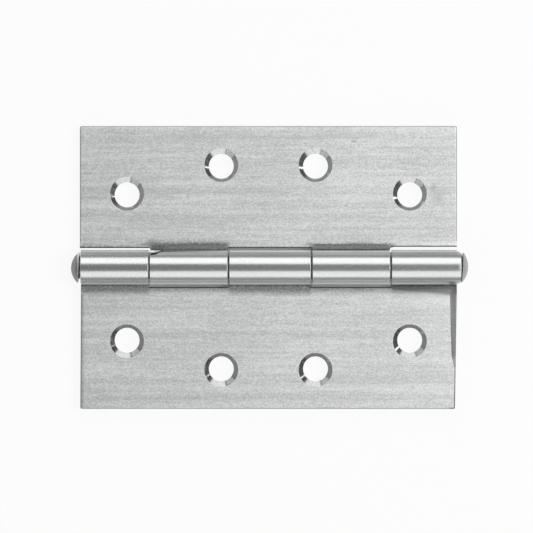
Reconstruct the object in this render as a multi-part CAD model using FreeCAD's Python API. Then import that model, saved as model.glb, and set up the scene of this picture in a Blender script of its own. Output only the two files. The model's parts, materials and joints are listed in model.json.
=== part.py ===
# Butt hinge of 1.6 mm steel sheet, lying open flat with the countersinks up.
# Two leaves are rolled round one fixed pin: the three-knuckle leaf lies at -Y and
# the two-knuckle leaf at +Y. X runs along the pin, Z points away from the surface
# that the hinge lies on. All lengths are in millimetres and all angles in degrees.
import FreeCAD, Part
import math
import os

# Sheet, pin and barrel
sheet_thickness = 1.6
pin_diameter = 6.0
pin_clearance = 0.04        # on the radius, between the pin and the rolled bore
closed_gap = 2.0            # between the two leaves when the hinge is shut

# Leaves
leaf_length = 100.0         # along the pin
leaf_reach = 37.5           # from the pin's axis to a leaf's free edge
corner_cut = 0.4            # at a leaf's outer corners, seen from above
edge_radius = 0.3           # on the leaf's upper edges
rim_cut = 0.3               # on the rims of the knuckles
end_run_in = 0.5            # how far the three-knuckle leaf's right-hand end slants in

# The neck that carries a knuckle: the sheet dips from the leaf down under the barrel
neck_run = 2.0              # from the barrel's side to where the dip starts
neck_bend_radius = 1.4      # on the underside of the sheet
curl_gap = 0.3              # between the curl's end and the neck that it closes on

# Knuckles and notches
middle_knuckle_length = 22.0
inner_knuckle_length = 20.95
knuckle_shift = 0.45        # the row of knuckles sits this far right of the leaves' middle
knuckle_gap = 0.4           # between two neighbouring knuckles
notch_clearance = 0.53      # between a knuckle's side and the notch that it turns in
notch_corner_radius = 0.9

# Screw holes, in a zigzag of two rows
hole_diameter = 6.5
countersink_diameter = 9.0
countersink_angle = 90.0
end_hole_margin = 12.5      # from the leaf's end to the outer holes
middle_hole_pitch = 25.0    # between the two middle holes
outer_hole_inset = 18.2     # from the free edge
middle_hole_inset = 10.6    # from the free edge
two_knuckle_drift = 0.3     # the countersinks sit off the holes, towards the free edge
three_knuckle_drift = 0.15

# Pin heads
made_head_diameter = 8.2    # the round head that the pin is made with, at -X
made_head_height = 1.95
closed_head_diameter = 8.0  # the head that is pressed when the hinge is put together
closed_head_height = 1.4
head_rim = 0.3              # straight edge of a head, under its dome
head_gap = 0.4              # between a head and the end of the barrel
head_tilt = 3.0             # both heads lean this much, and the swelled end with them

# The barrel's end that the pressing swelled
swelled_end_length = 1.1    # past the leaf's end
shoulder_length = 1.1       # of the rounding that leads to the end face
end_face_width = 0.5        # what the rounding leaves of the sheet's thickness there

# The curl corner that was cut off, on the two-knuckle leaf's left-hand knuckle
clipped_corner_length = 3.6
clipped_corner_angle = 45.0  # the cut reaches this far up from level

# The pressed strip along the three-knuckle leaf's right-hand end
strip_width = 2.0           # at the barrel
strip_ledge_width = 0.5     # the outermost part, which is level
strip_depth = 0.35          # at the barrel
strip_reach = 29.0          # the strip runs out this far from the pin's axis
strip_fade = 0.05           # share of its width and depth that is left there

# Worked out from the values above
bore_radius = pin_diameter / 2 + pin_clearance
barrel_radius = bore_radius + sheet_thickness
axis_height = barrel_radius
leaf_top = axis_height - closed_gap / 2
leaf_back = leaf_top - sheet_thickness
half_length = leaf_length / 2
neck_start = barrel_radius + neck_run
notch_reach = barrel_radius + notch_clearance

# Directions, and what the construction needs
margin = 1.0                # how far a cutting tool runs past what it cuts
tolerance = 1e-6            # for telling whether an edge lies at a place
three_knuckle_side = -1
two_knuckle_side = 1
x_axis = FreeCAD.Vector(1, 0, 0)
z_axis = FreeCAD.Vector(0, 0, 1)


def neck_slope():
    """Slope of the straight part of the neck, which touches the roll and the bend."""
    roll = bore_radius + sheet_thickness / 2
    bend = neck_bend_radius + sheet_thickness / 2
    drop = bend + closed_gap / 2 + sheet_thickness / 2
    reach = math.hypot(neck_start, drop)
    return math.degrees(math.asin((roll + bend) / reach) - math.atan2(drop, neck_start))


def curl_end():
    """Angle above level where the curl ends, with its outer corner near the neck."""
    return neck_slope() - math.degrees(math.asin((bore_radius - curl_gap) / barrel_radius))


def curl_start():
    """Angle where the neck runs into the curl, the long way round from its end."""
    return 270.0 + neck_slope()


def knuckle_ranges():
    """Start and end of each knuckle along the pin, from left to right."""
    near = middle_knuckle_length / 2
    far = near + inner_knuckle_length
    joints = [knuckle_shift + offset for offset in (-far, -near, near, far)]
    starts = [-half_length] + [joint + knuckle_gap / 2 for joint in joints]
    ends = [joint - knuckle_gap / 2 for joint in joints] + [half_length]
    return list(zip(starts, ends))


def notch_ranges(own):
    """Start and end of each notch, between the knuckles that are the leaf's own."""
    ranges = knuckle_ranges()
    edges = [-half_length] + [x for number in own for x in ranges[number]] + [half_length]
    pairs = list(zip(edges[0::2], edges[1::2]))
    return [pair for pair in pairs if pair[1] > pair[0]]


def at(side, out, height, x=0.0):
    """Point at a distance out from the pin's axis, towards the leaf of that side."""
    return FreeCAD.Vector(x, side * out, height)


def on_roll(side, radius, angle):
    """Point on a circle round the pin, at an angle above level on the leaf's side."""
    turn = math.radians(angle)
    return at(side, radius * math.cos(turn), axis_height + radius * math.sin(turn))


def on_bend(side, radius, angle):
    """Point on the bend that leads from the leaf into the neck."""
    turn = math.radians(angle)
    centre_height = leaf_back - neck_bend_radius
    return at(side, neck_start - radius * math.sin(turn), centre_height + radius * math.cos(turn))


def line(start, end):
    return Part.LineSegment(start, end).toShape()


def arc(place, side, radius, first, last):
    """Arc between two angles, where place gives the point at an angle."""
    points = [place(side, radius, angle) for angle in (first, (first + last) / 2, last)]
    return Part.Arc(*points).toShape()


def face_of(edges):
    return Part.Face(Part.Wire(Part.__sortEdges__(edges)))


def polygon_face(points):
    return Part.Face(Part.makePolygon(points + points[:1]))


def prism(face, x_range):
    """Section in the YZ plane, drawn out along the pin."""
    moved = face.translated(x_axis * x_range[0])
    return moved.extrude(x_axis * (x_range[1] - x_range[0]))


def ring_section(side, inner, outer, first, last):
    """Part of a ring round the pin, between two angles."""
    return face_of([
        arc(on_roll, side, outer, first, last),
        arc(on_roll, side, inner, first, last),
        line(on_roll(side, inner, first), on_roll(side, outer, first)),
        line(on_roll(side, inner, last), on_roll(side, outer, last)),
    ])


def knuckle_section(side):
    """Section of a curl with its neck, up to where the neck meets the flat leaf."""
    slope = neck_slope()
    under_bend = neck_bend_radius
    over_bend = neck_bend_radius + sheet_thickness
    return face_of([
        arc(on_roll, side, barrel_radius, curl_end(), curl_start()),
        arc(on_roll, side, bore_radius, curl_end(), curl_start()),
        line(on_roll(side, bore_radius, curl_end()), on_roll(side, barrel_radius, curl_end())),
        line(on_roll(side, barrel_radius, curl_start()), on_bend(side, under_bend, slope)),
        line(on_roll(side, bore_radius, curl_start()), on_bend(side, over_bend, slope)),
        arc(on_bend, side, under_bend, 0.0, slope),
        arc(on_bend, side, over_bend, 0.0, slope),
        line(on_bend(side, under_bend, 0.0), on_bend(side, over_bend, 0.0)),
    ])


def rims(knuckle, places):
    """Outer round edges of a knuckle at the given places along the pin."""
    return [edge for edge in knuckle.Edges
            if edge.Curve.TypeId == "Part::GeomCircle"
            and abs(edge.Curve.Radius - barrel_radius) < tolerance
            and min(abs(edge.CenterOfMass.x - x) for x in places) < tolerance]


def plain_knuckle(side, x_range):
    """Curl and neck with the sharp edge taken off both of the curl's rims."""
    knuckle = prism(knuckle_section(side), x_range)
    return knuckle.makeChamfer(rim_cut, rims(knuckle, x_range))


def clipped_knuckle(side, x_range):
    """Knuckle whose curl has lost the corner of its end, at its left-hand end."""
    cut_ring = ring_section(side, bore_radius - margin, barrel_radius + margin,
                            curl_end() - margin, clipped_corner_angle + margin)
    start, end = x_range[0], x_range[0] + clipped_corner_length
    inner = barrel_radius * math.cos(math.radians(clipped_corner_angle))
    outer = barrel_radius + margin
    corner = polygon_face([at(side, inner, 0, start - margin), at(side, inner, 0, start),
                           at(side, barrel_radius, 0, end), at(side, outer, 0, end),
                           at(side, outer, 0, start - margin)])
    corner = corner.extrude(z_axis * (2 * barrel_radius + margin))
    return plain_knuckle(side, x_range).cut(corner.common(prism(cut_ring, (start - margin, end))))


def swelled_knuckle(side, x_range):
    """Right-hand end knuckle, swelled past the leaf's end and rounded off there."""
    neck_end = x_range[1]
    knuckle = prism(knuckle_section(side), x_range)
    knuckle = knuckle.makeChamfer(rim_cut, rims(knuckle, x_range[:1]))
    ring = ring_section(side, bore_radius, barrel_radius, curl_end(), curl_start())
    swelling = prism(ring, (neck_end, neck_end + swelled_end_length + margin))
    return knuckle.fuse(swelling).removeSplitter().cut(shoulder_tool())


def shoulder_tool():
    """What lies outside the swelled end: past its face and round its shoulder."""
    face_x = half_length + swelled_end_length
    start_x = face_x - shoulder_length
    face_radius = bore_radius + end_face_width
    fall = barrel_radius - face_radius
    outside = barrel_radius + margin
    far_x = face_x + 2 * margin
    half_way = math.sqrt(0.5)
    shoulder = Part.Arc(lying(start_x, barrel_radius),
                        lying(start_x + shoulder_length * half_way, face_radius + fall * half_way),
                        lying(face_x, face_radius)).toShape()
    corners = [lying(face_x, face_radius), lying(face_x, 0), lying(far_x, 0),
               lying(far_x, outside), lying(start_x, outside), lying(start_x, barrel_radius)]
    edges = [line(a, b) for a, b in zip(corners, corners[1:])]
    tool = face_of([shoulder] + edges).revolve(pin_point(0), x_axis, 360)
    return tool.rotated(pin_point(face_x), z_axis, -head_tilt)


def pin_point(x):
    return FreeCAD.Vector(x, 0, axis_height)


def lying(x, radius):
    """Point beside the pin's axis, level with it, for an outline to be revolved."""
    return FreeCAD.Vector(x, radius, axis_height)


def leaf_plate(side, run_in):
    """The flat leaf, with its outer corners cut and its right-hand end slanting in."""
    plate = polygon_face([at(side, neck_start, leaf_back, -half_length),
                          at(side, leaf_reach, leaf_back, -half_length),
                          at(side, leaf_reach, leaf_back, half_length - run_in),
                          at(side, neck_start, leaf_back, half_length)])
    plate = plate.extrude(z_axis * sheet_thickness)
    corners = [edge for edge in plate.Edges
               if edge.BoundBox.ZLength > sheet_thickness / 2
               and abs(edge.CenterOfMass.y) > leaf_reach - margin]
    plate = plate.makeChamfer(corner_cut, corners)
    return plate.makeFillet(edge_radius, upper_outline(plate))


def upper_outline(plate):
    """Upper edges of the flat leaf, apart from the one that the necks leave from."""
    return [edge for edge in plate.Edges
            if edge.BoundBox.ZMin > leaf_top - tolerance
            and abs(edge.CenterOfMass.y) > neck_start + tolerance]


def notch_edge(side, x_range):
    """Flat strip of leaf between the line where the necks start and a notch."""
    outline = polygon_face([at(side, out, leaf_back, x) for x, out in (
        (x_range[0], notch_reach), (x_range[1], notch_reach),
        (x_range[1], neck_start), (x_range[0], neck_start))])
    return outline.extrude(z_axis * sheet_thickness)


def notch_corner(side, x, direction):
    """Rounded inside corner of a notch, as high as the curl's end."""
    inner = notch_reach - notch_corner_radius
    centre = at(side, inner, 0, x + direction * notch_corner_radius)
    square = polygon_face([at(side, inner, 0, x), centre,
                           at(side, notch_reach, 0, centre.x), at(side, notch_reach, 0, x)])
    height = on_roll(side, barrel_radius, curl_end()).z
    post = Part.makeCylinder(notch_corner_radius, height, centre, z_axis)
    return square.extrude(z_axis * height).cut(post)


def notch_corners(side, own):
    """The rounded corners of all notches, where they lie in the necks' sheet."""
    full_neck = prism(knuckle_section(side), (-half_length, half_length))
    corners = []
    for start, end in notch_ranges(own):
        if start > -half_length:
            corners.append(notch_corner(side, start, 1).common(full_neck))
        if end < half_length:
            corners.append(notch_corner(side, end, -1).common(full_neck))
    return corners


def screw_hole(side, x, inset, drift):
    """Tool for one hole and its countersink, which sits off it by the drift."""
    out = leaf_reach - inset
    drill = Part.makeCylinder(hole_diameter / 2, sheet_thickness + 2 * margin,
                              at(side, out, leaf_back - margin, x), z_axis)
    widening = math.tan(math.radians(countersink_angle / 2))
    top_radius = countersink_diameter / 2
    sink = Part.makeCone(top_radius - sheet_thickness * widening, top_radius + margin * widening,
                         sheet_thickness + margin, at(side, out + drift, leaf_back, x), z_axis)
    return drill.fuse(sink)


def screw_holes(side, drift):
    """The four holes of a leaf: two near its ends and two nearer its free edge."""
    outer = half_length - end_hole_margin
    middle = middle_hole_pitch / 2
    places = [(-outer, outer_hole_inset), (-middle, middle_hole_inset),
              (middle, middle_hole_inset), (outer, outer_hole_inset)]
    return [screw_hole(side, x, inset, drift) for x, inset in places]


def strip_section(out, share):
    """Outline of what the pressed strip takes away, at a distance from the pin."""
    slant = end_run_in * (out - neck_start) / (leaf_reach - neck_start)
    end = half_length - slant
    floor = leaf_top - strip_depth * share
    side = three_knuckle_side
    points = [at(side, out, leaf_top, end - strip_width * share),
              at(side, out, floor, end - strip_ledge_width * share),
              at(side, out, floor, end + margin),
              at(side, out, leaf_top + margin, end + margin),
              at(side, out, leaf_top + margin, end - strip_width * share)]
    return Part.makePolygon(points + points[:1])


def pressed_strip():
    """Tool for the strip that narrows along the leaf's end until it has gone."""
    return Part.makeLoft([strip_section(notch_reach, 1.0),
                          strip_section(strip_reach, strip_fade)], True, True)


def leaf(side, own, knuckles, run_in, drift):
    """One leaf: flat plate, knuckles, notch edges and screw holes in one sheet."""
    edges = [notch_edge(side, x_range) for x_range in notch_ranges(own)]
    sheet = leaf_plate(side, run_in).multiFuse(knuckles + edges + notch_corners(side, own))
    return sheet.removeSplitter().cut(screw_holes(side, drift))


def two_knuckle_leaf():
    ranges = knuckle_ranges()
    side = two_knuckle_side
    knuckles = [clipped_knuckle(side, ranges[1]), plain_knuckle(side, ranges[3])]
    return leaf(side, (1, 3), knuckles, 0.0, two_knuckle_drift)


def three_knuckle_leaf():
    ranges = knuckle_ranges()
    side = three_knuckle_side
    knuckles = [plain_knuckle(side, ranges[0]), plain_knuckle(side, ranges[2]),
                swelled_knuckle(side, ranges[4])]
    sheet = leaf(side, (0, 2, 4), knuckles, end_run_in, three_knuckle_drift)
    return sheet.cut(pressed_strip())


def pin_head(x, direction, diameter, height):
    """Domed head with a short straight rim, leaning as both heads do."""
    rim_x = x + direction * head_rim
    top_x = x + direction * height
    radius = diameter / 2
    rise = height - head_rim
    dome_radius = (radius ** 2 + rise ** 2) / (2 * rise)
    half_turn = math.asin(radius / dome_radius) / 2
    middle = lying(top_x - direction * dome_radius * (1 - math.cos(half_turn)),
                   dome_radius * math.sin(half_turn))
    dome = Part.Arc(lying(rim_x, radius), middle, lying(top_x, 0)).toShape()
    outline = face_of([dome, line(lying(top_x, 0), lying(x, 0)),
                       line(lying(x, 0), lying(x, radius)), line(lying(x, radius), lying(rim_x, radius))])
    return outline.revolve(pin_point(0), x_axis, 360).rotated(pin_point(x), z_axis, -head_tilt)


def pin():
    """Pin with its made head at the left and its closed head at the right."""
    left = -half_length - head_gap
    right = half_length + swelled_end_length + head_gap
    overlap = closed_head_height / 2
    shank = Part.makeCylinder(pin_diameter / 2, right - left + 2 * overlap,
                              pin_point(left - overlap), x_axis)
    heads = [pin_head(left, -1, made_head_diameter, made_head_height),
             pin_head(right, 1, closed_head_diameter, closed_head_height)]
    return shank.multiFuse(heads).removeSplitter()


def write(name, shape):
    print(name, "solids", len(shape.Solids), "valid", shape.isValid(), "volume", round(shape.Volume, 1))
    shape.exportStep("parts/" + name + ".step")


os.makedirs("parts", exist_ok=True)
write("leaf_three_knuckle", three_knuckle_leaf())
write("leaf_two_knuckle", two_knuckle_leaf())
write("pin", pin())
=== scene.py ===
# Visual model of a steel butt hinge: two rolled leaves on a headed pin, lying open flat.
# Lengths are in metres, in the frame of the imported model: X along the pin, Z up.
import bpy
import bmesh
import json
import math
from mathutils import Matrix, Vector

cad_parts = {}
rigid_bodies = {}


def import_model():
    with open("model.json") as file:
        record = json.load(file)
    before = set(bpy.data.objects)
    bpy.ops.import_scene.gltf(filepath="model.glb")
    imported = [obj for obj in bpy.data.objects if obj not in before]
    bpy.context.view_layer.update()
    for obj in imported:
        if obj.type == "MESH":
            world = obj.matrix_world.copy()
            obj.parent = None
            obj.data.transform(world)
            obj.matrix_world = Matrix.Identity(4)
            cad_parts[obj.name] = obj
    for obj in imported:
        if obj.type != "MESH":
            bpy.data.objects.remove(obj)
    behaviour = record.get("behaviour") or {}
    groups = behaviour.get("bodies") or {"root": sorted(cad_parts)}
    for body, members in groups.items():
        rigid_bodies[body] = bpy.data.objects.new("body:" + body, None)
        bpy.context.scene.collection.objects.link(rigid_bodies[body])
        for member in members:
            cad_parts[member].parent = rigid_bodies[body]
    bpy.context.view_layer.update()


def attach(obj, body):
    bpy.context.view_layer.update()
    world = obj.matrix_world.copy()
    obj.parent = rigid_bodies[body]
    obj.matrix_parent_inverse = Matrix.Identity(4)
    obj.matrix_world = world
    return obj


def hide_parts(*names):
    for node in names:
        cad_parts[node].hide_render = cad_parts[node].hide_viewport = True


bl_info = {
    "name": "Rolled Butt Hinge",
    "version": (1, 0, 0),
    "blender": (4, 5, 0),
    "location": "3D View > Sidebar > Hinge",
    "description": "Builds a steel butt hinge from sheet and pin, with its stage",
    "category": "Mesh",
}

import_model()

fixed_side = -1
swinging_side = 1
# Tolerance, how far tools pass the steel, corners of a circle, and small roundings
near = 1e-6
overshoot = 0.001
round_sides = 72
corner_round = 0.0004
corner_zone = 0.00045
back_round = 0.00008
notch_round = 0.0003
sink_round = 0.00007


def length(title, words, default):
    return bpy.props.FloatProperty(name=title, description=words, default=default,
                                   min=0.0, precision=5, unit="LENGTH")


def tint(title, words, default):
    return bpy.props.FloatVectorProperty(name=title, description=words, default=default,
                                         min=0.0, max=1.0, size=3, subtype="COLOR")


class HingeSizes(bpy.types.PropertyGroup):
    """Sizes of the sheet, the knuckles, the holes and the pin."""
    sheet: length("Sheet", "Thickness of the steel sheet", 0.0016)
    bore: length("Bore radius", "Inside radius of the rolled knuckles", 0.00304)
    leaf_top: length("Leaf top", "Height of the leaves' upper face", 0.00364)
    half_length: length("Half length", "Half of a leaf's length along the pin", 0.05)
    reach: length("Reach", "From the pin's axis to a leaf's free edge", 0.0375)
    neck_start: length("Neck start", "From the pin's axis to where the sheet dips", 0.00664)
    neck_bend: length("Neck bend", "Radius of the dip on the sheet's underside", 0.0014)
    curl_gap: length("Curl gap", "Between the curl's end and its neck", 0.0003)
    notch_reach: length("Notch reach", "From the pin's axis to a notch's edge", 0.00517)
    end_notch: length("End notch", "From the pin's axis to the right-hand notch's edge", 0.0055)
    tight_corner: length("Tight corner", "Radius of the tighter notch corners", 0.0004)
    wide_corner: length("Wide corner", "Radius of the wider notch corners", 0.0009)
    knuckle_gap: length("Knuckle gap", "Between two neighbouring knuckles", 0.0004)
    middle_knuckle: length("Middle knuckle", "Length of the middle knuckle", 0.022)
    inner_knuckle: length("Inner knuckle", "Length of the knuckles beside it", 0.02095)
    knuckle_shift: length("Knuckle shift", "How far right the row of knuckles sits", 0.00045)
    rim: length("Knuckle rim", "Rounding of a knuckle's rims", 0.00015)
    edge: length("Leaf edge", "Rounding of a leaf's upper edges", 0.0004)
    end_run_in: length("End run-in", "How far the fixed leaf's right end slants in", 0.0005)
    left_inset: length("Left inset", "How far the fixed leaf's left end stands back", 0.0003)
    curl_clip: length("Curl clip", "How far a curl's clipped corner runs along the pin", 0.0036)
    strip_width: length("Strip width", "Width of the pressed strip at its notch", 0.002)
    strip_ledge: length("Strip ledge", "Flat part of that width, along the leaf's end", 0.0005)
    strip_depth: length("Strip depth", "How deep the strip is pressed", 0.00025)
    strip_reach: length("Strip reach", "From the pin's axis to where the strip runs out", 0.028)
    end_hole_x: length("End hole place", "From a leaf's middle to its end holes", 0.0375)
    end_hole_out: length("End hole reach", "From the pin's axis to the end holes", 0.0193)
    inner_hole_x: length("Inner hole place", "From a leaf's middle to its inner holes", 0.0125)
    inner_hole_out: length("Inner hole reach", "From the pin's axis to the inner holes", 0.0269)
    hole: length("Hole", "Radius of a screw hole", 0.0033)
    sink: length("Countersink", "Radius of a countersink at the leaf's face", 0.0045)
    sink_depth: length("Countersink depth", "How deep a countersink goes", 0.00085)
    fixed_drift: length("Fixed drift", "How far the fixed leaf's countersinks sit off", 0.00025)
    swinging_drift: length("Swinging drift", "How far the other leaf's countersinks sit off", 0.0003)
    swelling: length("Swelling", "How far the pressed knuckle stands past the leaf", 0.0011)
    pin_radius: length("Pin radius", "Radius of the pin's shank", 0.003)
    head_gap: length("Head gap", "Between a head and the barrel's end", 0.00018)
    made_radius: length("Made head radius", "Radius of the head at the left", 0.0041)
    made_height: length("Made head height", "Height of the head at the left", 0.00212)
    pressed_radius: length("Pressed head radius", "Radius of the head at the right", 0.004)
    pressed_height: length("Pressed head height", "Height of the head at the right", 0.00162)
    lean: bpy.props.FloatProperty(name="Lean", description="Lean of both heads of the pin",
                                  default=math.radians(3.0), subtype="ANGLE")


class HingeFinish(bpy.types.PropertyGroup):
    """Colours of the steel and of the stage."""
    leaf: tint("Leaf", "Brushed sheet", (0.79, 0.805, 0.79))
    roll: tint("Barrel", "Sheet that the rolling has smoothed", (0.74, 0.75, 0.74))
    # This colour serves the real scuffs and also painted shade by the notch corners.
    stain_and_shade: tint("Stain", "Scuffs on the sheet", (0.40, 0.42, 0.41))
    # This colour is painted shade, laid on the sheet beside the barrel, on the pressed strip and on the
    # right-hand knuckle's neck.
    neck: tint("Neck", "Drawn sheet beside the barrel", (0.235, 0.245, 0.242))
    cut: tint("Cut steel", "Sheared edges", (0.30, 0.31, 0.305))
    sink: tint("Countersink", "Turned countersinks", (0.66, 0.67, 0.67))
    # This colour is painted shade: the dark line along the notch edges and the right-hand knuckle's end.
    gap_shade: tint("Burr", "Dark line along the edges of the notches", (0.10, 0.105, 0.105))
    pin: tint("Pin", "Pressed head of the pin", (0.39, 0.40, 0.395))
    made: tint("Made head", "Duller head at the other end of the pin", (0.215, 0.222, 0.218))
    # This colour is painted shade on the lower part of the pin's heads.
    lower_head_shade: tint("Tarnish", "Lower half of the pin's heads", (0.12, 0.125, 0.125))
    # This colour is painted shade on the shank, where it shows through the gaps between the knuckles.
    shank: tint("Shank", "Oily shank of the pin, between the knuckles", (0.10, 0.10, 0.10))
    floor: tint("Floor", "Plain pale floor", (0.90, 0.90, 0.90))


def sizes():
    return bpy.context.scene.hinge_sizes


def finish():
    return bpy.context.scene.hinge_finish


# Selecting and editing

def select_only(piece):
    for other in bpy.context.view_layer.objects:
        other.select_set(other == piece)
    bpy.context.view_layer.objects.active = piece


def add(primitive, name, **values):
    """Add a primitive with nothing else selected, and open it for editing."""
    select_only(None)
    primitive(**values)
    piece = bpy.context.active_object
    piece.name = piece.data.name = name
    bpy.ops.object.transform_apply(location=True, rotation=True, scale=True)
    bpy.ops.object.mode_set(mode="EDIT")
    return piece


def close(piece):
    bpy.ops.object.mode_set(mode="OBJECT")
    return piece


def reopen(piece):
    select_only(piece)
    bpy.ops.object.mode_set(mode="EDIT")


def select_everything():
    bpy.ops.mesh.select_all(action="SELECT")


def open_shape():
    return bmesh.from_edit_mesh(bpy.context.edit_object.data)


def show_changes():
    bmesh.update_edit_mesh(bpy.context.edit_object.data)


def pick(kind, test):
    """Select the vertices, edges or faces of the open mesh that pass a test."""
    bpy.ops.mesh.select_mode(type=kind)
    bpy.ops.mesh.select_all(action="DESELECT")
    shape = open_shape()
    if kind == "VERT":
        found = [vertex for vertex in shape.verts if test(vertex.co)]
    elif kind == "EDGE":
        found = [edge for edge in shape.edges if all(test(vertex.co) for vertex in edge.verts)]
    else:
        found = [face for face in shape.faces if test(face.calc_center_median())]
    for part in found:
        part.select_set(True)
    shape.select_flush_mode()
    show_changes()
    if not found:
        raise RuntimeError("nothing was selected on " + bpy.context.edit_object.name)


def leave_out(test):
    """Take the edges that pass a test out of the selection."""
    shape = open_shape()
    for edge in shape.edges:
        if edge.select and test(edge):
            edge.select_set(False)
    show_changes()


def chosen_middle():
    """Middle of the selected vertices of the open mesh."""
    shape = open_shape()
    places = [vertex.co.copy() for vertex in shape.verts if vertex.select]
    return sum(places, Vector()) / len(places)


def push(direction):
    bpy.ops.mesh.extrude_region_move(TRANSFORM_OT_translate={"value": tuple(direction)})


def push_edge(direction):
    bpy.ops.mesh.extrude_edges_move(TRANSFORM_OT_translate={"value": tuple(direction)})


def turn_edge(center, angle, steps, expected):
    """Spin the selected edge round a line along X, and make sure of where it ends."""
    bpy.ops.mesh.spin(steps=steps, angle=-angle, center=center, axis=(1, 0, 0))
    if (chosen_middle() - expected).yz.length > 1e-5:
        raise RuntimeError("the sheet was bent the wrong way")


def split_at(x):
    select_everything()
    bpy.ops.mesh.bisect(plane_co=(x, 0, 0), plane_no=(1, 0, 0), threshold=1e-7)


def soften(offset, segments=3):
    bpy.ops.mesh.bevel(offset=offset, segments=segments, profile=0.5, clamp_overlap=True)


def apply(piece, kind, **values):
    """Add a modifier with its values and apply it."""
    select_only(piece)
    modifier = piece.modifiers.new(kind.title(), kind)
    for key, value in values.items():
        setattr(modifier, key, value)
    bpy.ops.object.modifier_apply(modifier=modifier.name)
    return piece


def thicken(piece):
    """Give a sheet its thickness, half on each side of its middle."""
    close(piece)
    return apply(piece, "SOLIDIFY", thickness=sizes().sheet, offset=0.0, use_even_offset=True)


def join_solid(piece, other):
    apply(piece, "BOOLEAN", operation="UNION", object=other, solver="EXACT")
    bpy.data.objects.remove(other)
    return piece


def cut_solid(piece, tool):
    apply(piece, "BOOLEAN", operation="DIFFERENCE", object=tool, solver="EXACT")
    bpy.data.objects.remove(tool)
    return piece


def solid_between(name, *outlines):
    """Solid tool that runs through outlines with the same number of corners."""
    corners = len(outlines[0])
    piece = add(bpy.ops.mesh.primitive_circle_add, name, vertices=corners, radius=near, fill_type="NGON")
    select_everything()
    shape = open_shape()
    for vertex, place in zip(shape.verts, outlines[0]):
        vertex.co = place
    show_changes()
    for before, after in zip(outlines, outlines[1:]):
        shift = (sum(after, Vector()) - sum(before, Vector())) / corners
        push(shift)
        shape = open_shape()
        for vertex in shape.verts:
            if vertex.select:
                nearest = min(zip(before, after), key=lambda pair: (pair[0] + shift - vertex.co).length)
                vertex.co = nearest[1]
        show_changes()
    select_everything()
    bpy.ops.mesh.normals_make_consistent(inside=False)
    return close(piece)


def upright_tool(name, plan, side, low, high):
    """Solid tool between two heights, with its plan as seen from above."""
    outlines = [[Vector((x, side * out, height)) for x, out in plan] for height in (low, high)]
    return solid_between(name, *outlines)


def settle(piece, angle):
    """Clean the mesh and shade it smoothly, with flat faces kept flat."""
    reopen(piece)
    select_everything()
    bpy.ops.mesh.remove_doubles(threshold=near)
    bpy.ops.mesh.normals_make_consistent(inside=False)
    close(piece)
    bpy.ops.object.shade_smooth_by_angle(angle=math.radians(angle))
    apply(piece, "WEIGHTED_NORMAL", mode="FACE_AREA", weight=100, keep_sharp=True)


# Places on the sheet

def barrel_radius():
    return sizes().bore + sizes().sheet


def middle_radius():
    return sizes().bore + sizes().sheet / 2


def axis_height():
    return barrel_radius()


def sheet_middle():
    return sizes().leaf_top - sizes().sheet / 2


def neck_slope():
    """Slope of the neck's straight part, which touches the roll and the bend."""
    size = sizes()
    bend = size.neck_bend + size.sheet / 2
    drop = bend + axis_height() - sheet_middle()
    reach = math.hypot(size.neck_start, drop)
    return math.asin((middle_radius() + bend) / reach) - math.atan2(drop, size.neck_start)


def curl_end():
    """Angle on the roll where the curl ends, just short of its own neck."""
    size = sizes()
    return neck_slope() - math.asin((size.bore - size.curl_gap) / barrel_radius())


def curl_start():
    """Angle on the roll where the straight neck runs into it."""
    return math.radians(270) + neck_slope()


def on_roll(side, x, radius, angle):
    """Place at an angle round the pin's axis."""
    return Vector((x, side * radius * math.cos(angle), axis_height() + radius * math.sin(angle)))


def on_bend(side, x, angle):
    """Place on the middle of the sheet where it dips from the leaf to the neck."""
    size = sizes()
    radius = size.neck_bend + size.sheet / 2
    height = sheet_middle() - radius
    return Vector((x, side * (size.neck_start - radius * math.sin(angle)),
                   height + radius * math.cos(angle)))


def from_axis(place):
    return math.hypot(place.y, place.z - axis_height())


def knuckle_ranges():
    """Start and end of each knuckle along the pin, from left to right."""
    size = sizes()
    half = size.middle_knuckle / 2
    joints = [size.knuckle_shift + place for place in
              (-half - size.inner_knuckle, -half, half, half + size.inner_knuckle)]
    starts = [-size.half_length] + [joint + size.knuckle_gap / 2 for joint in joints]
    ends = [joint - size.knuckle_gap / 2 for joint in joints] + [size.half_length]
    return list(zip(starts, ends))


def notch_ranges(own):
    """Start and end of each notch of a leaf, from the numbers of its own knuckles."""
    ranges = knuckle_ranges()
    edges = [-sizes().half_length] + [x for number in own for x in ranges[number]]
    edges = edges + [sizes().half_length]
    return [pair for pair in zip(edges[0::2], edges[1::2]) if pair[1] - pair[0] > near]


def notch_edge(end):
    """How near to the pin's axis the sheet reaches, in the notch that ends at this place."""
    return sizes().end_notch if end > sizes().half_length - near else sizes().notch_reach


def slanted_end(out, size, run_in):
    """Place of a leaf's right-hand end along the pin, this far out from the axis."""
    share = (out - size.neck_start) / (size.reach - size.neck_start)
    return size.half_length - run_in * max(share, 0.0)


def hole_places():
    """Places of a leaf's end and inner holes, from its middle and from the pin's axis."""
    size = sizes()
    return (size.end_hole_x, size.end_hole_out), (size.inner_hole_x, size.inner_hole_out)


# Flat leaves

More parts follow.
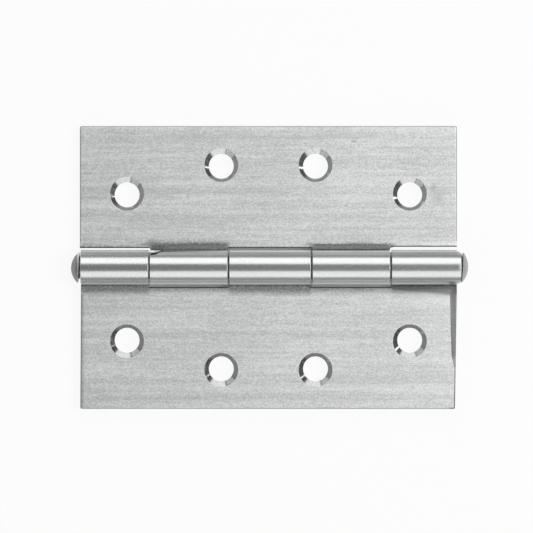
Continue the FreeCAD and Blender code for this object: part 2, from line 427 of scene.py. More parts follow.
def leaf_sheet(name, side, own, run_in):
    """Flat part of a leaf, with the strips that reach to the edges of its notches."""
    size = sizes()
    deep = size.reach - size.neck_start
    middle = side * (size.neck_start + deep / 2)
    piece = add(bpy.ops.mesh.primitive_plane_add, name, size=1.0, location=(0, middle, sheet_middle()))
    select_everything()
    bpy.ops.transform.resize(value=(2 * size.half_length, deep, 1.0),
                             center_override=(0, middle, sheet_middle()))
    for x in [place for pair in notch_ranges(own) for place in pair]:
        if abs(x) < size.half_length - near:
            split_at(x)
    for start, end in notch_ranges(own):
        pick("EDGE", lambda place: abs(abs(place.y) - size.neck_start) < near
             and start - near < place.x < end + near)
        push_edge((0, side * (notch_edge(end) - size.neck_start), 0))
    pick("VERT", lambda place: place.x > size.half_length - near and abs(place.y) > size.reach - near)
    bpy.ops.transform.translate(value=(-run_in, 0, 0))
    thicken(piece)
    reopen(piece)
    pick_corners(size, run_in)
    soften(corner_round)
    pick("EDGE", lambda place: place.z > size.leaf_top - near and outer_rim(place, size, run_in))
    soften(size.edge)
    pick("EDGE", lambda place: place.z < size.leaf_top - size.sheet + near
         and outer_rim(place, size, run_in))
    soften(back_round, 2)
    for start, end in notch_ranges(own):
        pick("EDGE", lambda place: place.z > size.leaf_top - near
             and abs(abs(place.y) - notch_edge(end)) < near and start - near < place.x < end + near)
        soften(notch_round)
    return close(piece)


def outer_rim(place, size, run_in):
    """Whether a place lies on the leaf's ends or free edge."""
    if abs(place.y) < size.neck_start - near:
        return False
    by_corner = (abs(place.y) > size.reach - corner_zone
                 and abs(place.x) > size.half_length - run_in - corner_zone)
    return (place.x < -size.half_length + near or abs(place.y) > size.reach - near
            or place.x > slanted_end(abs(place.y), size, run_in) - 5 * near or by_corner)


def pick_corners(size, run_in):
    """Select the two upright edges at the leaf's outer corners."""
    pick("EDGE", lambda place: abs(place.y) > size.reach - near
         and (place.x < -size.half_length + near or place.x > size.half_length - run_in - near))
    leave_out(lambda edge: (edge.verts[0].co - edge.verts[1].co).xy.length > near)


# Knuckles

def knuckle(name, side, x_range, corners, swell=0.0, clip=0.0):
    """Neck and curl of one knuckle, bent from a strip of sheet as the real one is."""
    size = sizes()
    lap = 0.0005
    bend_steps, roll_steps = 6, 90
    widest = max(corners)
    left = x_range[0] - corners[0]
    right = x_range[1] + corners[1]
    middle = ((left + right) / 2, side * (size.neck_start + lap / 2), sheet_middle())
    piece = add(bpy.ops.mesh.primitive_plane_add, name, size=1.0, location=middle)
    select_everything()
    bpy.ops.transform.resize(value=(right - left, lap, 1.0), center_override=middle)
    for x, corner in zip(x_range, corners):
        if corner:
            split_at(x)
    slope = neck_slope()
    pick("EDGE", lambda place: abs(abs(place.y) - size.neck_start) < near)
    bend_centre = (0, side * size.neck_start, on_bend(side, 0, math.pi / 2).z)
    bend_end = on_bend(side, 0, slope)
    turn_edge(bend_centre, side * slope, bend_steps, bend_end)
    roll_start = on_roll(side, 0, middle_radius(), curl_start())
    corner_share = (abs(bend_end.y) - size.notch_reach + widest) / (abs(bend_end.y) - abs(roll_start.y))
    push_edge((roll_start - bend_end) * corner_share)
    end_y = abs(chosen_middle().y)
    pick("EDGE", lambda place: abs(abs(place.y) - end_y) < near
         and x_range[0] - near < place.x < x_range[1] + near)
    push_edge((roll_start - bend_end) * (1 - corner_share))
    turn = curl_end() - curl_start()
    roll_end = on_roll(side, 0, middle_radius(), curl_end())
    turn_edge((0, 0, axis_height()), side * turn, roll_steps, roll_end)
    if swell:
        pick("EDGE", lambda place: place.x > x_range[1] - near
             and abs(from_axis(place) - middle_radius()) < 10 * near)
        push_edge((swell, 0, 0))
    thicken(piece)
    if clip:
        clip_curl(piece, side, x_range[0], clip)
    last_joint = knuckle_ranges()[-1][0] - size.knuckle_gap - near
    for x, corner, way in zip(x_range, corners, (-1, 1)):
        if corner:
            deeper = side == swinging_side and x > last_joint
            reach = size.end_notch if deeper else size.notch_reach
            round_notch(piece, side, x, way, corner, widest, reach)
    reopen(piece)
    round_rims(size, x_range, swell, size.notch_reach - widest + near)
    close(piece)
    if swell:
        for way in (-1, 1):
            cut_shoulder(piece, way, x_range[1], swell)
    return piece


def cut_shoulder(piece, way, x, swell):
    """Cut one corner off the swelled end, straight across as seen from above."""
    radius = barrel_radius()
    low, high = 0.0003, 2.1 * radius
    plan = ((x, radius), (x + swell, radius - swell), (x + swell + overshoot, radius - swell - overshoot),
            (x + swell + overshoot, radius + overshoot), (x, radius + overshoot))
    cut_solid(piece, upright_tool("shoulder tool", plan, way, low, high))


def clip_curl(piece, side, x, clip):
    """Cut the corner off the curl's end, in two short cuts as seen from above."""
    radius = barrel_radius()
    inner, knee, outer = 0.70 * radius, 0.73 * radius, radius + overshoot
    plan = ((x - overshoot, inner), (x, inner), (x + 0.4 * clip, knee), (x + clip, radius),
            (x + clip, outer), (x - overshoot, outer))
    low, high = 0.0031, 2 * radius
    cut_solid(piece, upright_tool("clip tool", plan, side, low, high))


def round_notch(piece, side, x, way, corner, widest, reach):
    """Cut the quarter circle of a notch's inside corner out of the neck's flange."""
    size = sizes()
    low, high = -overshoot, on_roll(side, 0, barrel_radius(), curl_end()).z
    height = (low + high) / 2
    clear = x + way * near
    round_tool = add(bpy.ops.mesh.primitive_cylinder_add, "corner tool", vertices=48, radius=corner,
                     depth=high - low, location=(clear + way * corner, side * (reach - corner), height))
    cut_solid(piece, close(round_tool))
    deep = reach - corner - size.notch_reach + widest
    if deep > near:
        deep = deep + overshoot
        middle = (clear + way * widest, side * (reach - corner - deep / 2), height)
        square_tool = add(bpy.ops.mesh.primitive_cube_add, "corner tool", size=1.0, location=middle)
        bpy.ops.transform.resize(value=(2 * widest, deep, high - low), center_override=middle)
        cut_solid(piece, close(square_tool))


def round_rims(size, x_range, swell, limit):
    """Round the outer rims of the curl and the free part of its neck."""
    outer = barrel_radius() - 5 * near
    sharp = math.radians(60)
    for x in (x_range[0], x_range[1] + swell):
        pick("EDGE", lambda place: abs(place.x - x) < near and from_axis(place) > outer
             and abs(place.y) < limit)
        leave_out(lambda edge: len(edge.link_faces) == 2 and edge.calc_face_angle(0.0) < sharp)
        soften(size.rim, 4)


# Holes, pressed strip and worn end

def screw_hole(piece, side, x, out, drift):
    """Drill one hole and its countersink, which sits off it by the drift."""
    size = sizes()
    back = size.leaf_top - size.sheet
    drill = add(bpy.ops.mesh.primitive_cylinder_add, "drill", vertices=round_sides, radius=size.hole,
                depth=size.sheet + 2 * overshoot, location=(x, side * out, back + size.sheet / 2))
    cut_solid(piece, close(drill))
    turn = [math.tau * number / round_sides for number in range(round_sides)]
    slope = (size.sink - size.hole) / size.sink_depth
    rings = []
    for up in (-size.sheet, overshoot):
        radius = size.hole + slope * (up + size.sink_depth)
        shift = drift * (up + size.sink_depth) / size.sink_depth
        middle = Vector((x, side * (out + shift), size.leaf_top + up))
        rings.append([middle + Vector((radius * math.cos(angle), radius * math.sin(angle), 0))
                      for angle in turn])
    cut_solid(piece, solid_between("sink", *rings))
    reopen(piece)
    centre = Vector((x, side * (out + drift), size.leaf_top))
    pick("EDGE", lambda place: abs((place - centre).xy.length - size.sink) < 2 * near
         and place.z > size.leaf_top - near)
    soften(sink_round, 2)
    close(piece)


def screw_holes(piece, side, drift):
    end, inner = hole_places()
    for way, place in ((-1, end), (-1, inner), (1, inner), (1, end)):
        screw_hole(piece, side, way * place[0], place[1], drift)


def press_strip(piece):
    """Press the strip along the fixed leaf's right-hand end, narrowing outwards."""
    size = sizes()
    knee, narrow, tip = size.strip_reach - 0.0045, 0.62, 0.05
    sections = []
    for out, share in ((size.notch_reach, 1.0), (knee, narrow), (size.strip_reach, tip)):
        end = slanted_end(out, size, size.end_run_in)
        wide, ledge, deep = size.strip_width * share, size.strip_ledge * share, size.strip_depth * share
        rise = overshoot * deep / (wide - ledge)
        outline = ((end - wide - overshoot, rise), (end - ledge, -deep), (end + overshoot, -deep),
                   (end + overshoot, rise))
        sections.append([Vector((x, fixed_side * out, size.leaf_top + up)) for x, up in outline])
    cut_solid(piece, solid_between("strip tool", *sections))


def inset_left_end(piece):
    """Set the fixed leaf's left end back, a little less at its free edge."""
    size = sizes()
    zone, less = 0.0006, 0.7
    reopen(piece)
    shape = open_shape()
    for vertex in shape.verts:
        if vertex.co.x < zone - size.half_length:
            vertex.co.x += size.left_inset * (1 - less * abs(vertex.co.y) / size.reach)
    show_changes()
    close(piece)


# Pin

def head(name, x, way, radius, height, lean):
    """Domed head with a short straight rim, modelled ring by ring and then leaned."""
    rim, lip, soft = 0.00018, 0.0002, 0.00004
    rise = height - rim
    dome = (radius ** 2 + rise ** 2) / (2 * rise)
    piece = add(bpy.ops.mesh.primitive_circle_add, name, vertices=round_sides, radius=radius - lip,
                fill_type="NGON", location=(x, 0, axis_height()), rotation=(0, math.radians(90), 0))
    rings = [(0.0, radius - lip), (0.00005, radius - soft), (0.0001, radius), (rim - soft, radius)]
    dome_steps = 14
    top = math.asin(radius / dome)
    for number in range(1, dome_steps):
        angle = top * (1 - number / dome_steps)
        rings.append((height - dome * (1 - math.cos(angle)), dome * math.sin(angle)))
    select_everything()
    for before, after in zip(rings, rings[1:]):
        push((way * (after[0] - before[0]), 0, 0))
        share = after[1] / before[1]
        bpy.ops.transform.resize(value=(1.0, share, share),
                                 center_override=(x + way * after[0], 0, axis_height()))
    bpy.ops.mesh.inset(thickness=rings[-1][1] * 0.5)
    bpy.ops.mesh.poke()
    pick("VERT", lambda place: from_axis(place) < near and abs(place.x - x) > rim)
    bpy.ops.transform.translate(value=(x + way * height - chosen_middle().x, 0, 0))
    select_everything()
    bpy.ops.transform.rotate(value=lean, orient_axis="Z", center_override=(x, 0, axis_height()))
    if chosen_middle().y * way > 0:
        raise RuntimeError("the head leans the wrong way")
    return close(piece)


# Materials

class Wires:
    """Short way to add and link the nodes of one material or world."""

    def __init__(self, owner):
        self.owner = owner
        self.owner.use_nodes = True
        self.tree = owner.node_tree
        self.tree.nodes.clear()

    def add(self, kind, settings=None, **inputs):
        node = self.tree.nodes.new(kind)
        for key, value in (settings or {}).items():
            setattr(node, key, value)
        for key, value in inputs.items():
            socket = self.socket(node, key)
            if isinstance(value, bpy.types.NodeSocket):
                self.tree.links.new(value, socket)
            else:
                socket.default_value = value
        return node

    def socket(self, node, key):
        if key.startswith("in_"):
            return node.inputs[int(key[3:])]
        return node.inputs[key.replace("_", " ")]

    def axes(self, output):
        """Place in the piece's own axes, or direction in a world, and its three parts."""
        place = self.add("ShaderNodeTexCoord").outputs[output]
        return place, *self.add("ShaderNodeSeparateXYZ", in_0=place).outputs

    def calc(self, operation, first, second=0.0, third=0.0):
        node = self.add("ShaderNodeMath", {"operation": operation}, in_0=first, in_1=second, in_2=third)
        return node.outputs[0]

    def times(self, first, *others):
        for other in others:
            first = self.calc("MULTIPLY", first, other)
        return first

    def rest(self, share):
        """What a share leaves of the whole."""
        return self.calc("SUBTRACT", 1.0, share)

    def scaled(self, value, factor, base):
        """A value times a factor, plus a base."""
        return self.calc("MULTIPLY_ADD", value, factor, base)

    def most(self, first, second):
        return self.calc("MAXIMUM", first, second)

    def over(self, value, limit):
        return self.calc("GREATER_THAN", value, limit)

    def under(self, value, limit):
        return self.calc("LESS_THAN", value, limit)

    def ramp(self, value, low, high, start=0.0, end=1.0):
        """Smooth step of a value between two limits."""
        node = self.add("ShaderNodeMapRange", {"interpolation_type": "SMOOTHSTEP"}, Value=value,
                        From_Min=low, From_Max=high, To_Min=start, To_Max=end)
        return node.outputs[0]

    def fall(self, value, low, high):
        return self.ramp(value, low, high, 1.0, 0.0)

    def noise(self, place, scale, detail=2.0, stretch=(1, 1, 1), shift=(0, 0, 0)):
        moved = self.add("ShaderNodeMapping", Vector=place, Scale=stretch, Location=shift)
        node = self.add("ShaderNodeTexNoise", Vector=moved.outputs[0], Scale=scale, Detail=detail)
        return node.outputs[0]

    def mix(self, share, first, second):
        """Colour between the first, at a share of nought, and the second."""
        node = self.add("ShaderNodeMix", {"data_type": "RGBA"}, in_0=share, in_6=first, in_7=second)
        return node.outputs[2]

    def raised(self, height, strength):
        """Direction of a surface with fine relief."""
        return self.add("ShaderNodeBump", Strength=strength, Distance=0.0001, Height=height).outputs[0]

    def steel(self, colour, roughness, **inputs):
        """Steel from its colour, its roughness and any other inputs of its shader."""
        shader = self.add("ShaderNodeBsdfPrincipled", Base_Color=colour, Roughness=roughness,
                          Metallic=1.0, **inputs)
        self.add("ShaderNodeOutputMaterial", Surface=shader.outputs[0])
        return self.owner


def opaque(colour, share=1.0):
    return tuple(channel * share for channel in colour) + (1.0,)


def sheet_steel():
    """Brushed sheet: grain along X, mottling, drawn bands, stains, and smoother cut edges, with painted
    shade beside the barrel, by the notches, on the pressed strip and at the right-hand knuckle's end.
    """
    wires = Wires(bpy.data.materials.new("leaf_steel_brushed"))
    colours = finish()
    place, x, y, z = wires.axes("Object")
    out = wires.calc("ABSOLUTE", y)
    grain = wires.noise(place, 1.0, 3.0, (180, 1900, 1900))
    fine = wires.noise(place, 1.0, 2.0, (900, 6000, 6000))
    mottle = wires.noise(place, 1.0, 3.0, (2100, 3200, 3200))
    cloud = wires.noise(place, 1.0, 3.0, (60, 130, 130))
    bands = wires.noise(place, 1.0, 2.0, (9, 420, 0))
    strands = wires.noise(place, 1.0, 2.0, (30, 1000, 0), (4, 3, 0))
    tone = wires.times(mottle, 0.44)
    for pattern, share in ((grain, 0.14), (cloud, 0.10), (bands, 0.20), (strands, 0.12)):
        tone = wires.scaled(pattern, share, tone)
    tone = wires.ramp(tone, 0.37, 0.63)
    rolled = wires.fall(out, 0.0046, 0.0052)
    flat_zone = wires.ramp(out, 0.0067, 0.0072)
    strip = strip_shade(wires, x, y, z, mottle)
    # Painted shade on the pressed strip, away from the barrel.
    deep_strip_shade = wires.times(strip, wires.fall(y, -0.0068, -0.0062))
    # Painted shade beside the barrel, joined with the strip's painted shade.
    neck = wires.most(neck_shade(wires, x, y, z, mottle, cloud), strip)
    cut = wires.times(sheared(wires, z), flat_zone, wires.rest(deep_strip_shade))
    worn_end = wires.times(wires.ramp(x, -0.0497, -0.0485, 0.55, 0.0), flat_zone, wires.under(y, 0.0))
    # Painted shade on the right-hand knuckle's end, by the pressed head.
    end_rim_shade = wires.times(rolled, wires.ramp(x, 0.0508, 0.0510, 0.0, 0.9))
    colour = wires.mix(tone, opaque(colours.leaf, 0.74), opaque(colours.leaf, 1.12))
    # Of these layers, the neck, the strip, the end neck, the end rim and the notch line are painted
    # shade, the barrel colour holds painted light and shade, and the stains hold some painted shade.
    layers = ((stains_and_notch_shade(wires, place), opaque(colours.stain_and_shade)),
              (rolled, barrel_colour(wires, x, z, tone)),
              (neck, opaque(colours.neck)),
              (deep_strip_shade, opaque(colours.neck, 0.72)),
              (end_neck_shade(wires, x, y, z, mottle), opaque(colours.neck, 0.62)),
              (worn_end, opaque(colours.cut)),
              (end_rim_shade, opaque(colours.gap_shade)),
              (cut, opaque(colours.cut)),
              (notch_shadow_line(wires, x, y, z), opaque(colours.gap_shade)))
    for share, above in layers:
        colour = wires.mix(share, colour, above)
    uneven = wires.times(mottle, wires.scaled(rolled, -0.11, 0.16))
    rough = wires.calc("ADD", uneven, 0.46)
    for share, change in ((rolled, -0.235), (neck, -0.10), (cut, -0.16)):
        rough = wires.scaled(share, change, rough)
    relief = wires.scaled(mottle, 0.5, wires.times(grain, 0.7))
    relief = wires.scaled(fine, 0.25, relief)
    calm = wires.most(rolled, wires.times(strip, 0.9))
    relief = wires.times(relief, wires.scaled(calm, -0.85, 1.0))
    return wires.steel(colour, rough, Normal=wires.raised(relief, 0.22))


def sheared(wires, z):
    """Share of a place between the sheet's two faces, where its cut edges are."""
    top, back = sizes().leaf_top, sizes().leaf_top - sizes().sheet
    return wires.times(wires.fall(z, top - 0.00013, top - 0.00002),
                       wires.ramp(z, back + 0.00002, back + 0.0001))


def barrel_colour(wires, x, z, tone):
    """Smooth barrel, with a band of painted shade on its flanks, darker beside the fixed leaf's knuckles,
    and painted light on the steel below it.
    """
    roll = finish().roll
    crown = wires.mix(tone, opaque(roll, 0.92), opaque(roll, 1.04))
    flank_shade = wires.mix(by_fixed_knuckles(wires, x), opaque(roll, 0.73), opaque(roll, 0.62))
    lit_and_shaded_flank = wires.mix(wires.ramp(z, 0.0061, 0.0072), opaque(roll, 1.22), flank_shade)
    return wires.mix(wires.ramp(z, 0.0078, 0.0084), lit_and_shaded_flank, crown)


def sink_steel():
    """Turned countersinks: their fine rings spread each light along the slope of the cone."""
    wires = Wires(bpy.data.materials.new("countersink_turned"))
    sink = finish().sink
    end, inner = hole_places()
    place, x, y, z = wires.axes("Object")
    along, out = wires.calc("ABSOLUTE", x), wires.calc("ABSOLUTE", y)
    by_end = wires.over(along, (end[0] + inner[0]) / 2)
    middle_x = wires.scaled(by_end, end[0] - inner[0], inner[0])
    middle_out = wires.scaled(by_end, end[1] - inner[1], inner[1] + sizes().swinging_drift)
    dx = wires.times(wires.calc("SUBTRACT", along, middle_x), wires.calc("SIGN", x))
    dy = wires.times(wires.calc("SUBTRACT", out, middle_out), wires.calc("SIGN", y))
    slope = wires.add("ShaderNodeCombineXYZ", X=dx, Y=dy)
    slope = wires.add("ShaderNodeVectorTransform", {"vector_type": "VECTOR", "convert_from": "OBJECT",
                                                    "convert_to": "WORLD"}, Vector=slope.outputs[0])
    mottle = wires.noise(place, 1800.0, 3.0)
    rings = wires.calc("SINE", wires.times(z, 42000.0))
    tone = wires.ramp(wires.scaled(rings, 0.10, mottle), 0.3, 0.7)
    colour = wires.mix(tone, opaque(sink, 0.86), opaque(sink, 1.04))
    # Painted shade: the fixed leaf's countersinks get a darker copy of the same colour.
    lower_sink_shade = wires.mix(tone, opaque(sink, 0.72), opaque(sink, 0.88))
    colour = wires.mix(wires.under(y, 0.0), colour, lower_sink_shade)
    rough = wires.scaled(mottle, 0.01, 0.165)
    return wires.steel(colour, rough, Anisotropic=0.6, Tangent=slope.outputs[0])


def mark_sinks(piece):
    """Give the walls of the screw holes and their countersinks the turned finish."""
    piece.data.materials.append(bpy.data.materials.get("countersink_turned") or sink_steel())
    reopen(piece)
    top, back = sizes().leaf_top, sizes().leaf_top - sizes().sheet
    drift, zone = 0.0002, 0.00475
    middles = [Vector((x, out + drift)) for x, out in hole_places()]
    pick("FACE", lambda place: back + near < place.z < top - near
         and min((Vector((abs(place.x), abs(place.y))) - middle).length for middle in middles) < zone)
    piece.active_material_index = 1
    bpy.ops.object.material_slot_assign()
    close(piece)


def below_barrel(wires, z):
    """Share of a place no higher than the leaf's upper face."""
    return wires.fall(z, sizes().leaf_top + 0.0001, sizes().leaf_top + 0.0002)


def from_middle(wires, x):
    """Distance along the pin from the middle of the row of knuckles."""
    return wires.calc("ABSOLUTE", wires.calc("SUBTRACT", x, sizes().knuckle_shift))


def beside_fixed(wires, x):
    """Share of a place beside the fixed leaf's knuckles, with soft limits."""
    along = from_middle(wires, x)
    return wires.most(wires.fall(along, 0.0100, 0.0122), wires.ramp(along, 0.0308, 0.0332))


def by_fixed_knuckles(wires, x):
    """Whether a place lies beside one of the fixed leaf's three knuckles."""
    along = from_middle(wires, x)
    return wires.most(wires.under(along, 0.0109), wires.over(along, 0.0321))


def neck_shade(wires, x, y, z, mottle, cloud):
    """Share of painted shade on the sheet on both sides of the barrel, with wavering limits."""
    waver = wires.scaled(mottle, 0.0008, wires.scaled(cloud, 0.0012, -0.0010))
    moved = wires.calc("ADD", y, waver)
    swinging = swinging_neck_shade(wires, x, y, moved, mottle)
    fixed = fixed_neck_shade(wires, x, y, z, moved, mottle)
    return wires.times(wires.most(swinging, fixed), below_barrel(wires, z))


def swinging_neck_shade(wires, x, y, moved, mottle):
    """Share of painted shade on the swinging leaf beside the barrel: crisp, and wider on the left half.
    """
    share = wires.times(wires.fall(moved, 0.0061, 0.0073), wires.under(x, 0.0))
    share = wires.most(share, wires.fall(moved, 0.0061, 0.0066))
    share = wires.most(share, wires.ramp(y, 0.0064, 0.0092, 0.15, 0.0))
    share = wires.times(share, wires.rest(beside_fixed(wires, x)))
    share = wires.most(share, wires.fall(moved, 0.0052, 0.0058))
    return wires.times(share, wires.ramp(y, 0.0043, 0.0047), wires.ramp(mottle, 0.40, 0.62, 1.0, 0.8))


def fixed_neck_shade(wires, x, y, z, moved, mottle):
    """Share of painted shade on the fixed leaf beside the barrel: fading out away from it."""
    top = sizes().leaf_top
    dipped = wires.fall(z, top - 0.00003, top - 0.000004)
    share = wires.times(wires.ramp(moved, -0.0076, -0.0050), dipped)
    share = wires.most(share, wires.ramp(moved, -0.0073, -0.0050, 0.0, 0.9))
    beside = wires.times(wires.ramp(moved, -0.0079, -0.0057, 0.0, 0.95), beside_fixed(wires, x))
    share = wires.most(share, beside)
    return wires.times(share, wires.fall(y, -0.0047, -0.0043), wires.ramp(mottle, 0.40, 0.62, 1.0, 0.62))


def end_neck_shade(wires, x, y, z, mottle):
    """Share of the darkest painted shade, on the neck of the right-hand knuckle, wider towards its end.
    """
    spread = wires.scaled(wires.calc("SUBTRACT", x, 0.040), 0.087, y)
    spread = wires.scaled(wires.calc("SUBTRACT", mottle, 0.5), 0.0006, spread)
    share = wires.times(wires.ramp(spread, -0.0070, -0.0059), wires.ramp(x, 0.0320, 0.0335))
    share = wires.times(share, wires.fall(y, -0.0049, -0.0045), wires.ramp(mottle, 0.35, 0.65, 1.0, 0.8))
    return wires.times(share, below_barrel(wires, z))


def notch_shadow_line(wires, x, y, z):
    """Share of the painted shade that draws a dark line along the edges of the notches, by the gaps."""
    size = sizes()
    swinging = wires.over(y, 0.0)
    in_swinging = by_fixed_knuckles(wires, x)
    in_fixed = wires.rest(in_swinging)
    change = wires.calc("SUBTRACT", in_fixed, in_swinging)
    notched = wires.scaled(wires.rest(swinging), change, in_swinging)
    right = wires.times(wires.over(x, 0.0325), swinging)
    edge = wires.scaled(right, size.end_notch - size.notch_reach, size.notch_reach)
    past = wires.calc("SUBTRACT", wires.calc("ABSOLUTE", y), edge)
    line = wires.times(wires.fall(past, 0.00020, 0.00034), wires.over(past, -0.00002))
    return wires.times(line, notched, below_barrel(wires, z))


def strip_shade(wires, x, y, z, mottle):
    """Share of painted shade on the slope of the pressed strip."""
    top = sizes().leaf_top
    slope = wires.times(wires.ramp(x, 0.0477, 0.0482), wires.fall(x, 0.0495, 0.0498))
    low = wires.times(wires.fall(z, top - 0.00003, top - 0.000003), wires.under(y, 0.0))
    return wires.times(slope, low, wires.ramp(mottle, 0.35, 0.65, 1.0, 0.85))


def stains_and_notch_shade(wires, place):
    """Small dark marks on the swinging leaf: a nick and two scuffs, and four patches of painted shade by
    the notch corners.
    """
    total = 0.0
    # The last four marks are painted shade by the notch corners.
    marks = ((0.0227, 0.0335, 0.0011, 0.0005, 0.8), (0.0438, 0.0212, 0.0013, 0.0017, 0.6),
             (0.0449, 0.0184, 0.0026, 0.0024, 0.45), (-0.0328, 0.0061, 0.0030, 0.0006, 0.95),
             (-0.0310, 0.0067, 0.0022, 0.0008, 0.9), (0.0108, 0.0062, 0.0016, 0.0007, 0.9),
             (0.0332, 0.0060, 0.0012, 0.0005, 0.7))
    for x, y, wide, high, dark in marks:
        moved = wires.add("ShaderNodeMapping", {"vector_type": "TEXTURE"}, Vector=place,
                          Location=(x, y, sizes().leaf_top), Scale=(wide, high, 0.002))
        ball = wires.add("ShaderNodeTexGradient", {"gradient_type": "SPHERICAL"}, Vector=moved.outputs[0])
        total = wires.scaled(ball.outputs["Fac"], dark, total)
    return wires.calc("MINIMUM", total, 1.0)


def pin_steel():
    """Pin steel: smooth, with faint hammering on its heads, painted shade on the lower part of its heads
    and on its shank between the knuckles, and a painted highlight on the round head's rim.
    """
    wires = Wires(bpy.data.materials.new("pin_steel_pressed"))
    colours = finish()
    place, x, y, z = wires.axes("Object")
    mottle = wires.noise(place, 1500.0, 3.0)
    dents = wires.noise(place, 520.0, 2.0)
    up = wires.calc("SUBTRACT", z, axis_height())
    radius = wires.calc("SQRT", wires.scaled(y, y, wires.times(up, up)))
    along = wires.calc("ABSOLUTE", wires.calc("SUBTRACT", x, sizes().swelling / 2))
    # Painted shade on the shank inside the knuckles.
    inside = wires.times(wires.fall(along, 0.05076, 0.05084), wires.under(radius, 0.0031))
    pressed = wires.over(x, 0.0)
    # Painted highlight on the round head's rim.
    rim = wires.times(wires.ramp(x, -0.0506, -0.0504), wires.over(radius, 0.0038), wires.rest(pressed))
    # Painted shade on the lower part of the heads, below a wavy height.
    below = wires.scaled(dents, 0.0006, z)
    below = wires.scaled(pressed, 0.0006, below)
    tone = wires.ramp(mottle, 0.3, 0.7)
    left = wires.mix(tone, opaque(colours.made, 0.88), opaque(colours.made, 1.10))
    right = wires.mix(tone, opaque(colours.pin, 0.88), opaque(colours.pin, 1.10))
    colour = wires.mix(pressed, left, right)
    # Painted shade on the lower part of the heads.
    colour = wires.mix(wires.fall(below, 0.0066, 0.0073), colour, opaque(colours.lower_head_shade))
    colour = wires.mix(rim, colour, opaque(colours.made, 3.5))
    colour = wires.mix(inside, colour, opaque(colours.shank))
    rough = wires.scaled(mottle, 0.14, 0.24)
    relief = wires.scaled(dents, 1.2, wires.times(mottle, 0.25))
    return wires.steel(colour, rough, Normal=wires.raised(relief, 0.3))


def floor_paint():
    """Pale floor that photographs white, apart from the shadow among the knuckles."""
    wires = Wires(bpy.data.materials.new("pale_floor"))
    matt = wires.add("ShaderNodeBsdfDiffuse", Color=opaque(finish().floor))
    glow = wires.add("ShaderNodeEmission", Color=(1, 1, 1, 1), Strength=1.0)
    path = wires.add("ShaderNodeLightPath")
    seen = wires.most(path.outputs["Is Camera Ray"], path.outputs["Is Glossy Ray"])
    seen = wires.most(seen, path.outputs["Is Transmission Ray"])
    x, y = wires.axes("Object")[1:3]
    along = from_middle(wires, x)
    out = wires.calc("ABSOLUTE", y)
    half_row = wires.scaled(wires.under(y, 0.0), 0.0005, 0.0318)
    beside = wires.times(wires.over(along, half_row), wires.ramp(out, 0.0040, 0.0042))
    beyond = wires.most(wires.ramp(out, 0.007, 0.009), wires.over(along, 0.045))
    share = wires.times(seen, wires.most(beside, beyond), 0.9)
    both = wires.add("ShaderNodeMixShader", in_0=share, in_1=matt.outputs[0], in_2=glow.outputs[0])
    wires.add("ShaderNodeOutputMaterial", Surface=both.outputs[0])
    return wires.owner


def dress(piece, material, body, node):
    """Give a piece its material, the body it rides on and the CAD piece that it replaces."""
    piece.data.materials.clear()
    piece.data.materials.append(material)
    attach(piece, body)
    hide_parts(node)


def steel_for_leaves():
    return bpy.data.materials.get("leaf_steel_brushed") or sheet_steel()


# Operators

class HINGE_OT_fixed_leaf(bpy.types.Operator):
    """Make the leaf with three knuckles, which holds the pin"""
    bl_idname = "hinge.fixed_leaf"
    bl_label = "Three-knuckle leaf"

    def execute(self, context):
        size = sizes()
        ranges = knuckle_ranges()
        piece = leaf_sheet("three_knuckle_sheet", fixed_side, (0, 2, 4), size.end_run_in)
        tight = size.tight_corner
        join_solid(piece, knuckle("knuckle 1", fixed_side, ranges[0], (0.0, tight)))
        join_solid(piece, knuckle("knuckle 3", fixed_side, ranges[2], (tight, tight)))
        join_solid(piece, knuckle("knuckle 5", fixed_side, ranges[4], (tight, 0.0), size.swelling))
        screw_holes(piece, fixed_side, size.fixed_drift)
        press_strip(piece)
        inset_left_end(piece)
        settle(piece, 40)
        dress(piece, steel_for_leaves(), "fixed_leaf", "leaf_three_knuckle")
        mark_sinks(piece)
        return {"FINISHED"}


class HINGE_OT_swinging_leaf(bpy.types.Operator):
    """Make the leaf with two knuckles, one of them with a clipped curl"""
    bl_idname = "hinge.swinging_leaf"
    bl_label = "Two-knuckle leaf"

    def execute(self, context):
        size = sizes()
        ranges = knuckle_ranges()
        tight, wide = size.tight_corner, size.wide_corner
        piece = leaf_sheet("two_knuckle_sheet", swinging_side, (1, 3), 0.0)
        clipped = knuckle("knuckle 2", swinging_side, ranges[1], (tight, tight), clip=size.curl_clip)
        join_solid(piece, clipped)
        join_solid(piece, knuckle("knuckle 4", swinging_side, ranges[3], (wide, wide)))
        screw_holes(piece, swinging_side, size.swinging_drift)
        settle(piece, 40)
        dress(piece, steel_for_leaves(), "swinging_leaf", "leaf_two_knuckle")
        mark_sinks(piece)
        return {"FINISHED"}


class HINGE_OT_pin(bpy.types.Operator):
    """Make the pin with its round head and its pressed head"""
    bl_idname = "hinge.pin"
    bl_label = "Pin"

    def execute(self, context):
        size = sizes()
        left = -size.half_length - size.head_gap
        right = size.half_length + size.swelling + size.head_gap
        sunk = 0.0004
        piece = add(bpy.ops.mesh.primitive_cylinder_add, "hinge_pin", vertices=round_sides,
                    radius=size.pin_radius, depth=right - left + 2 * sunk,
                    location=((left + right) / 2, 0, axis_height()), rotation=(0, math.radians(90), 0))
        close(piece)
        made = (size.made_radius, size.made_height, size.lean)
        pressed = (size.pressed_radius, size.pressed_height, size.lean)
        join_solid(piece, head("made head", left, -1, *made))
        join_solid(piece, head("pressed head", right, 1, *pressed))
        settle(piece, 40)
        dress(piece, pin_steel(), "fixed_leaf", "pin")
        return {"FINISHED"}


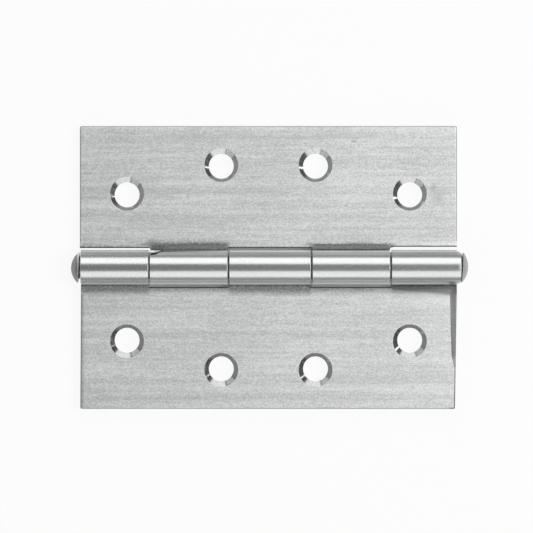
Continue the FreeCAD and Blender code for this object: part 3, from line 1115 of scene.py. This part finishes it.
class HINGE_OT_stage(bpy.types.Operator):
    """Make the pale floor, the soft lights and the camera"""
    bl_idname = "hinge.stage"
    bl_label = "Stage"

    def execute(self, context):
        piece = add(bpy.ops.mesh.primitive_plane_add, "floor", size=3.0, location=(0, 0, 0))
        close(piece)
        piece.data.materials.append(floor_paint())
        add_light("far_softbox", (0.11, 0.50, 0.52), (0.72, 0.57), 1.5)
        add_light("near_softbox", (0.11, -0.50, 0.52), (0.72, 0.57), 1.15)
        add_light("far_left_softbox", (-0.43, 0.50, 0.52), (0.42, 0.57), 0.42)
        add_light("near_left_softbox", (-0.43, -0.50, 0.52), (0.42, 0.57), 0.34)
        add_light("right_softbox", (0.52, 0, 0.74), (0.5, 0.5), 3.2)
        add_light("low_lamp", (0.17, 0.055, 0.070), (0.013, 0.050), 0.0068)
        add_light("side_lamp", (0.50, -0.33, 0.20), (0.018, 0.018), 0.0021)
        add_world()
        add_camera()
        return {"FINISHED"}


def add_light(name, place, spread, power):
    """Soft lamp with no picture of its own, turned to the hinge."""
    data = bpy.data.lights.new(name, "AREA")
    data.shape = "RECTANGLE"
    data.size, data.size_y = spread
    data.energy = power
    lamp = bpy.data.objects.new(name, data)
    bpy.context.scene.collection.objects.link(lamp)
    lamp.location = place
    lamp.rotation_euler = (Vector((0, 0, 0)) - Vector(place)).to_track_quat("-Z", "Y").to_euler()
    lamp.visible_camera = False


def add_world():
    """Cool surroundings, brighter to the front, back and left and darker to the right."""
    wires = Wires(bpy.data.worlds.new("studio"))
    x, y = wires.axes("Generated")[1:3]
    strength = wires.ramp(wires.calc("ABSOLUTE", y), 0.5, 0.95, 0.18, 0.31)
    strength = wires.ramp(x, 0.45, 0.80, strength, 0.085)
    strength = wires.ramp(wires.times(x, -1.0), 0.6, 0.9, strength, 0.37)
    back = wires.add("ShaderNodeBackground", Color=(0.97, 0.985, 1.0, 1.0), Strength=strength)
    wires.add("ShaderNodeOutputWorld", Surface=back.outputs[0])
    bpy.context.scene.world = wires.owner


def add_camera():
    """Long lens straight above the hinge, as the photo was taken."""
    data = bpy.data.cameras.new("camera")
    data.lens = 305.6
    data.sensor_width = 36.0
    camera = bpy.data.objects.new("camera", data)
    bpy.context.scene.collection.objects.link(camera)
    camera.location = (-0.0005, 0.00027, 1.2 + sizes().leaf_top)
    bpy.context.scene.camera = camera
    bpy.context.scene.view_settings.view_transform = "Standard"


class HINGE_PT_maker(bpy.types.Panel):
    """Sizes, colours and steps of the hinge"""
    bl_idname = "HINGE_PT_maker"
    bl_label = "Butt hinge"
    bl_space_type = "VIEW_3D"
    bl_region_type = "UI"
    bl_category = "Hinge"

    def draw(self, context):
        layout = self.layout
        for step in steps:
            layout.operator(step.bl_idname)
        for group in (context.scene.hinge_sizes, context.scene.hinge_finish):
            box = layout.box()
            for name in group.bl_rna.properties.keys():
                if name not in ("rna_type", "name"):
                    box.prop(group, name)


steps = (HINGE_OT_fixed_leaf, HINGE_OT_swinging_leaf, HINGE_OT_pin, HINGE_OT_stage)
classes = (HingeSizes, HingeFinish) + steps + (HINGE_PT_maker,)


def register():
    for item in classes:
        bpy.utils.register_class(item)
    bpy.types.Scene.hinge_sizes = bpy.props.PointerProperty(type=HingeSizes)
    bpy.types.Scene.hinge_finish = bpy.props.PointerProperty(type=HingeFinish)


def unregister():
    del bpy.types.Scene.hinge_finish
    del bpy.types.Scene.hinge_sizes
    for item in reversed(classes):
        bpy.utils.unregister_class(item)


def main():
    register()
    bpy.ops.hinge.fixed_leaf()
    bpy.ops.hinge.swinging_leaf()
    bpy.ops.hinge.pin()
    bpy.ops.hinge.stage()


if __name__ == "__main__":
    main()
